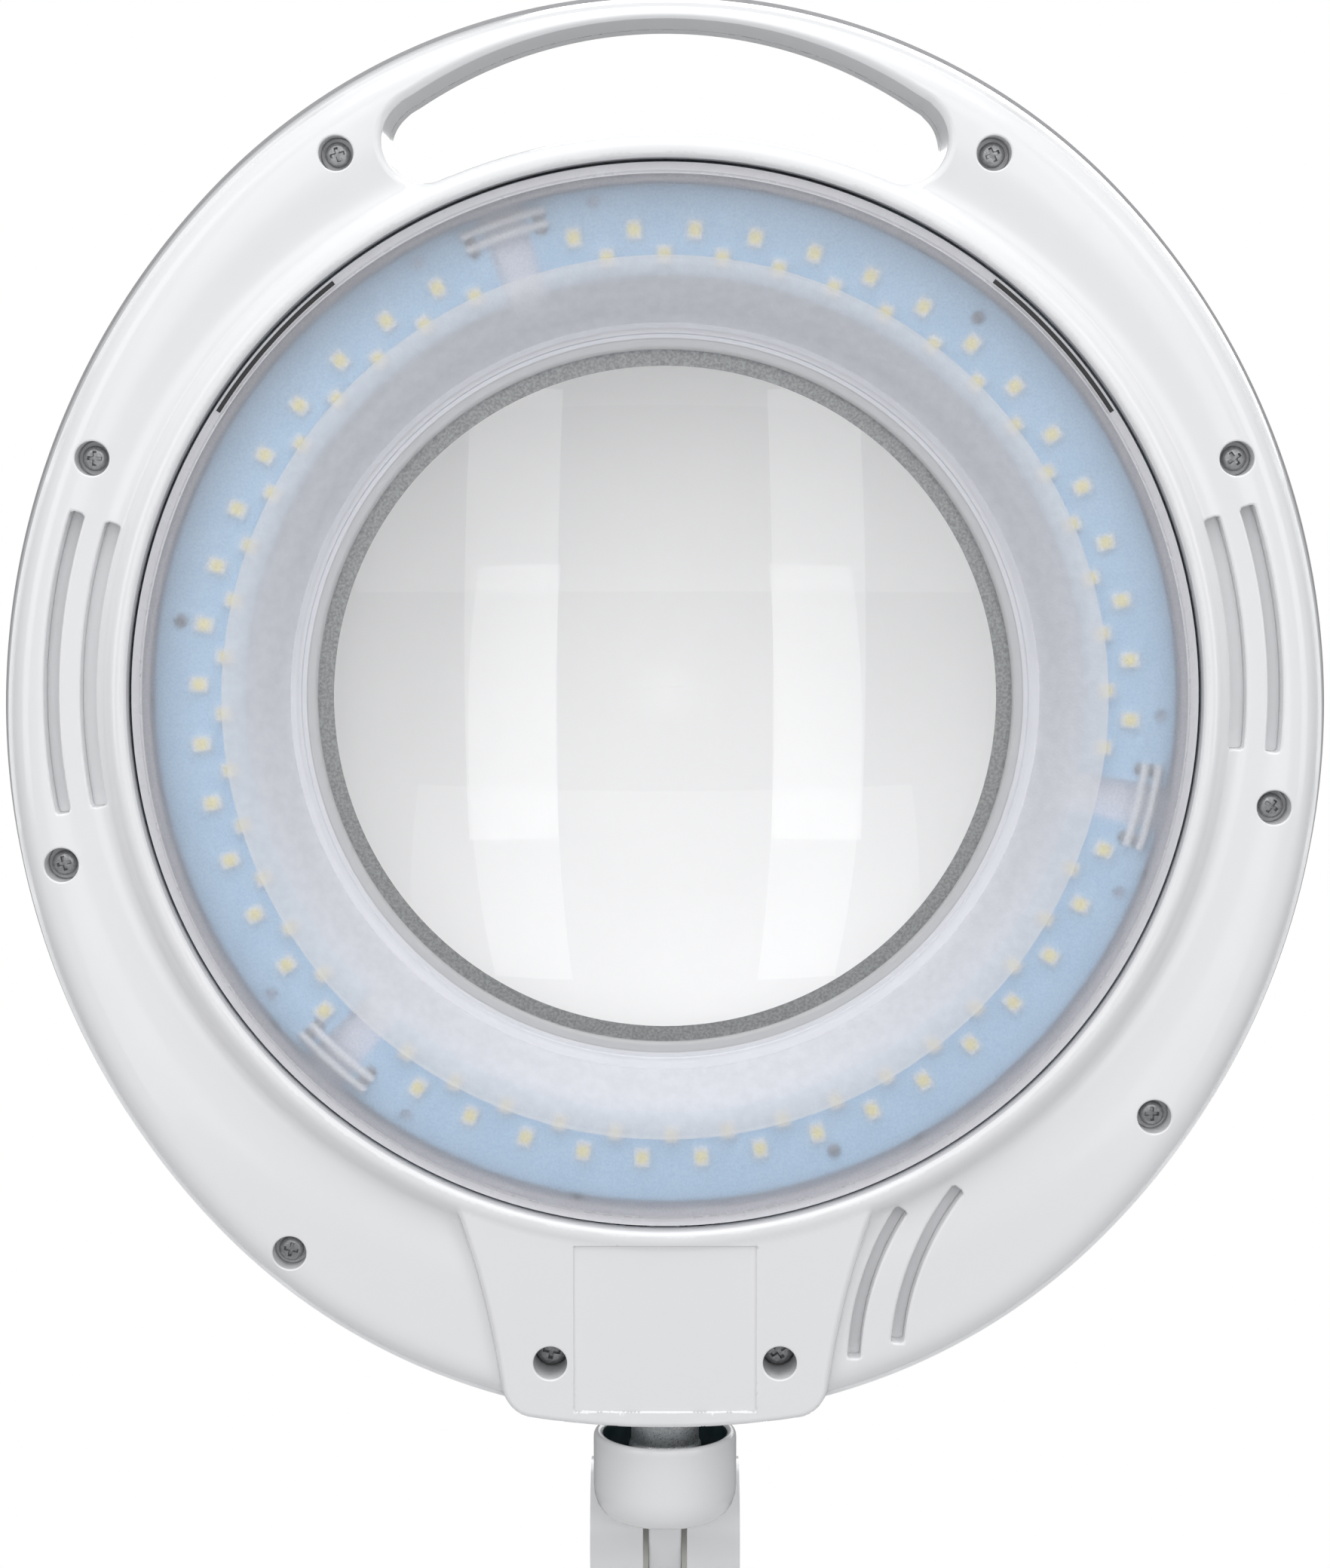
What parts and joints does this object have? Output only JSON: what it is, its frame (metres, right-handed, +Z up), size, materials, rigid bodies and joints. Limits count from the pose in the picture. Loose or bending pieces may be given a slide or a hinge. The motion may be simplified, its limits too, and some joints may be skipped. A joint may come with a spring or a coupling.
{
  "type": "magnifying lamp",
  "caption": "Clamp-on magnifying lamp: oval LED head with round glass lens and hand-hole, tilting and swivelling on a spring-balanced arm with a table clamp.",
  "frame": {"origin": "middle of the contact face of the clamp's upper jaw, on the axis of the base post", "axes": "+Z up along the base post; the head's lit side faces -Y; the arm moves in the YZ plane; +X is the right-hand side seen from in front"},
  "size_m": [0.245, 0.3368, 1.0285],
  "materials": {
    "white_abs": "gloss",
    "white_plate": "satin",
    "frosted": "frosted, fine grain",
    "board_blue": "solder mask",
    "led_phosphor": "satin",
    "lead_wire": "satin",
    "lens_glass": "polished",
    "black_rubber": "matt",
    "dark_screw": "blackened",
    "fibre_board": "satin",
    "black_plastic": "satin",
    "grey_button": "gloss",
    "zinc_steel": "zinc plated, mottled",
    "white_paint": "gloss",
    "bright_steel": "bright",
    "spring_steel": "bright",
    "nylon": "satin"
  },
  "bodies": {
    "clamp": {"clamp_frame": "white_paint", "jaw_rubber": "black_rubber", "post_bush": "nylon"},
    "pad": {"pressure_pad": "zinc_steel", "pad_rubber": "black_rubber"},
    "screw": {"clamp_screw": "zinc_steel", "clamp_knob": "black_plastic"},
    "base": {"base_post": "bright_steel", "base_bracket": "white_paint", "base_pins": "bright_steel", "cord_gland": "black_rubber"},
    "lower_arm": {"lower_bar": "bright_steel", "lower_cover_left": "white_abs", "lower_cover_right": "white_abs", "lower_cover_screws": "dark_screw", "lower_springs": "spring_steel", "lower_spring_pin": "zinc_steel"},
    "lower_link": {"lower_link_bar": "bright_steel"},
    "elbow": {"elbow_bracket": "white_paint", "elbow_pins": "bright_steel", "elbow_caps": "white_abs"},
    "upper_arm": {"upper_bar": "bright_steel", "upper_cover_left": "white_abs", "upper_cover_right": "white_abs", "upper_cover_screws": "dark_screw", "upper_springs": "spring_steel", "upper_spring_pin": "zinc_steel"},
    "upper_link": {"upper_link_bar": "bright_steel"},
    "arm_end": {"arm_fork": "white_abs", "fork_pins": "bright_steel", "tilt_bolt": "zinc_steel", "tilt_nut": "zinc_steel", "tilt_washers": "nylon", "bolt_caps": "white_abs"},
    "swivel": {"swivel_cup": "white_paint", "stud_washer": "zinc_steel"},
    "head": {"front_housing": "white_abs", "back_housing": "white_abs", "diffuser": "frosted", "led_board_1": "board_blue", "led_board_2": "board_blue", "led_board_3": "board_blue", "led_chips": "led_phosphor", "board_leads": "lead_wire", "led_carrier": "white_plate", "lens": "lens_glass", "lens_gasket": "black_rubber", "lens_ring": "white_plate", "housing_screws": "dark_screw", "neck_screws": "dark_screw", "driver_board": "fibre_board", "driver_parts": "black_plastic", "switch_body": "black_plastic", "cover_hinge_pin": "bright_steel", "pivot_block": "zinc_steel", "swivel_stud": "zinc_steel", "stud_nut": "zinc_steel"},
    "cover": {"lens_cover": "white_abs"},
    "button": {"power_button": "grey_button"}
  },
  "joints": [
    {"name": "clamp_screw_turn", "type": "hinge", "parent": "pad", "child": "screw", "pos_m": [0, 0, -0.05], "axis": [0, 0, 1], "range_deg": [-2880, 4860]},
    {"name": "clamp_pad_slide", "type": "slide", "parent": "clamp", "child": "pad", "axis": [0, 0, 1], "range_m": [-0.016, 0.027]},
    {"name": "base_swivel", "type": "hinge", "parent": "clamp", "child": "base", "pos_m": [0, 0, 0.03], "axis": [0, 0, 1], "continuous": true},
    {"name": "lower_arm_lift", "type": "hinge", "parent": "base", "child": "lower_arm", "pos_m": [0, 0.00737, 0.08084], "axis": [-1, 0, 0], "range_deg": [-55, 35], "deforming": ["lower_springs"]},
    {"name": "lower_link_turn", "type": "hinge", "parent": "base", "child": "lower_link", "pos_m": [0, -0.00737, 0.09116], "axis": [-1, 0, 0], "range_deg": [-55, 35]},
    {"name": "elbow_level", "type": "hinge", "parent": "lower_arm", "child": "elbow", "pos_m": [0, 0.24072, 0.31418], "axis": [-1, 0, 0], "range_deg": [-35, 55]},
    {"name": "upper_arm_lift", "type": "hinge", "parent": "elbow", "child": "upper_arm", "pos_m": [0, 0.2318, 0.35225], "axis": [1, 0, 0], "range_deg": [-45, 45], "deforming": ["upper_springs"]},
    {"name": "upper_link_turn", "type": "hinge", "parent": "elbow", "child": "upper_link", "pos_m": [0, 0.24289, 0.36644], "axis": [1, 0, 0], "range_deg": [-45, 45]},
    {"name": "arm_end_level", "type": "hinge", "parent": "upper_arm", "child": "arm_end", "pos_m": [0, -0.02824, 0.55542], "axis": [1, 0, 0], "range_deg": [-45, 45]},
    {"name": "head_tilt", "type": "hinge", "parent": "arm_end", "child": "swivel", "pos_m": [0, -0.0347, 0.60651], "axis": [1, 0, 0], "range_deg": [-30, 80]},
    {"name": "head_swivel", "type": "hinge", "parent": "swivel", "child": "head", "pos_m": [0, -0.0637, 0.62951], "axis": [0, 0, 1], "range_deg": [-90, 90]},
    {"name": "lens_cover_hinge", "type": "hinge", "parent": "head", "child": "cover", "pos_m": [0, -0.0372, 0.85351], "axis": [1, 0, 0], "range_deg": [0, 110]},
    {"name": "power_button_push", "type": "slide", "parent": "head", "child": "button", "axis": [0, -1, 0], "range_m": [0, 0.0015], "stiffness_N_per_m": 600, "springref_m": -0.001}
  ],
  "couplings": [
    {"joint": "clamp_screw_turn", "follows": "clamp_pad_slide", "rad_per_m": 3141.6},
    {"joint": "lower_link_turn", "follows": "lower_arm_lift", "ratio": 1},
    {"joint": "elbow_level", "follows": "lower_arm_lift", "ratio": -1},
    {"joint": "upper_link_turn", "follows": "upper_arm_lift", "ratio": 1},
    {"joint": "arm_end_level", "follows": "upper_arm_lift", "ratio": -1}
  ]
}
